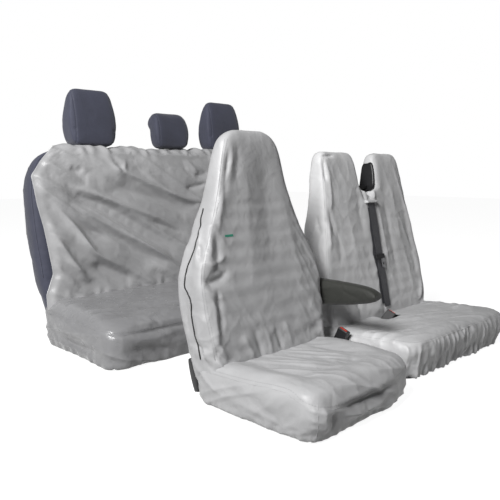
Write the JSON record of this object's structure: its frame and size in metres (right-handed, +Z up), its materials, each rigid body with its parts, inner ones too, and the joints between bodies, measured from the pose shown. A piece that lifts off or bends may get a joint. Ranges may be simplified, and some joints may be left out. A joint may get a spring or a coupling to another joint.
{
  "type": "covered van seat set",
  "caption": "Driver's seat, double passenger seat and rear bench of a van, each in fitted fabric covers with gathered hems.",
  "frame": {"origin": "middle of the driver's seat pan across the seat, on its underside, 0.23 m behind the front of its cushion", "axes": "seats face -Y, +X is towards an occupant's left, +Z is up"},
  "size_m": [1.568, 1.6906, 1.1665],
  "materials": {
    "cover_fabric": "silver-grey coated woven cloth with a satin sheen, creased where it is drawn tight",
    "foam": "moulded seat foam under its cover",
    "upholstery": "dark slate-blue short knit cloth",
    "armrest_fabric": "near-black ribbed cloth",
    "black_plastic": "fine-grained black moulding",
    "red_plastic": "bright red release button",
    "webbing": "tight ribbed belt webbing",
    "steel": "bright plated steel",
    "painted_steel": "black powder coat",
    "elastic": "grey covered elastic cord",
    "binding": "black edge tape",
    "label": "plain green sewn tag"
  },
  "bodies": {
    "root": {"bench_back_cover": "cover_fabric", "bench_back_panel": "black_plastic", "bench_back_upholstery": "upholstery", "bench_cushion_cover": "cover_fabric", "bench_cushion_foam": "foam", "bench_headrest_centre_sleeve_a": "black_plastic", "bench_headrest_centre_sleeve_b": "black_plastic", "bench_headrest_left_sleeve_a": "black_plastic", "bench_headrest_left_sleeve_b": "black_plastic", "bench_headrest_right_sleeve_a": "black_plastic", "bench_headrest_right_sleeve_b": "black_plastic", "bench_hem_elastic": "elastic", "bench_seat_pan": "painted_steel", "double_back_cover": "cover_fabric", "double_back_foam_left": "foam", "double_back_foam_right": "foam", "double_back_panel_left": "black_plastic", "double_back_panel_right": "black_plastic", "double_belt_guide": "black_plastic", "double_belt_slot_trim": "cover_fabric", "double_belt_stop": "black_plastic", "double_belt_webbing": "webbing", "double_buckle_centre": "black_plastic", "double_buckle_right": "black_plastic", "double_buckle_stalk_centre": "black_plastic", "double_buckle_stalk_right": "black_plastic", "double_cushion_cover": "cover_fabric", "double_cushion_foam": "foam", "double_hem_elastic": "elastic", "double_seat_pan": "painted_steel", "driver_cushion_cover": "cover_fabric", "driver_cushion_foam": "foam", "driver_hem_elastic": "elastic", "driver_hinge_pin_left": "steel", "driver_hinge_pin_right": "steel", "driver_recliner_bracket_left": "painted_steel", "driver_recliner_bracket_right": "painted_steel", "driver_seat_pan": "painted_steel"},
    "driver_back": {"driver_armrest_pin": "steel", "driver_back_cover": "cover_fabric", "driver_back_foam": "foam", "driver_back_panel": "black_plastic", "driver_hinge_boss_left": "painted_steel", "driver_hinge_boss_right": "painted_steel", "driver_label": "label", "driver_side_opening_binding": "binding"},
    "driver_armrest": {"driver_armrest_pad": "armrest_fabric"},
    "belt_tongue": {"double_tongue_grip": "black_plastic", "double_tongue_plate": "steel"},
    "buckle_button_centre": {"double_buckle_button_centre": "red_plastic"},
    "buckle_button_right": {"double_buckle_button_right": "red_plastic"},
    "headrest_left": {"bench_headrest_left": "upholstery", "bench_headrest_left_post_a": "steel", "bench_headrest_left_post_b": "steel"},
    "headrest_centre": {"bench_headrest_centre": "upholstery", "bench_headrest_centre_post_a": "steel", "bench_headrest_centre_post_b": "steel"},
    "headrest_right": {"bench_headrest_right": "upholstery", "bench_headrest_right_post_a": "steel", "bench_headrest_right_post_b": "steel"}
  },
  "joints": [
    {"name": "driver_recline", "type": "hinge", "parent": "root", "child": "driver_back", "pos_m": [0, 0.23, 0.105], "axis": [-1, 0, 0], "range_deg": [-8, 25]},
    {"name": "driver_armrest_fold", "type": "hinge", "parent": "driver_back", "child": "driver_armrest", "pos_m": [0.334, 0.26993, 0.29996], "axis": [-1, 0, 0], "range_deg": [0, 100]},
    {"name": "belt_tongue_slide", "type": "slide", "parent": "root", "child": "belt_tongue", "axis": [-0.0304, 0.201, 0.9791], "range_m": [0, 0.2]},
    {"name": "buckle_button_centre_press", "type": "slide", "parent": "root", "child": "buckle_button_centre", "axis": [-0.6157, 0.2695, -0.7405], "range_m": [0, 0.004], "stiffness_N_per_m": 400, "springref_m": -0.001},
    {"name": "buckle_button_right_press", "type": "slide", "parent": "root", "child": "buckle_button_right", "axis": [-0.1736, 0.3368, -0.9254], "range_m": [0, 0.004], "stiffness_N_per_m": 400, "springref_m": -0.001},
    {"name": "headrest_left_height", "type": "slide", "parent": "root", "child": "headrest_left", "axis": [0, 0.1426, 0.9898], "range_m": [0, 0.06]},
    {"name": "headrest_centre_height", "type": "slide", "parent": "root", "child": "headrest_centre", "axis": [0, 0.1426, 0.9898], "range_m": [0, 0.06]},
    {"name": "headrest_right_height", "type": "slide", "parent": "root", "child": "headrest_right", "axis": [0, 0.1426, 0.9898], "range_m": [0, 0.06]}
  ]
}
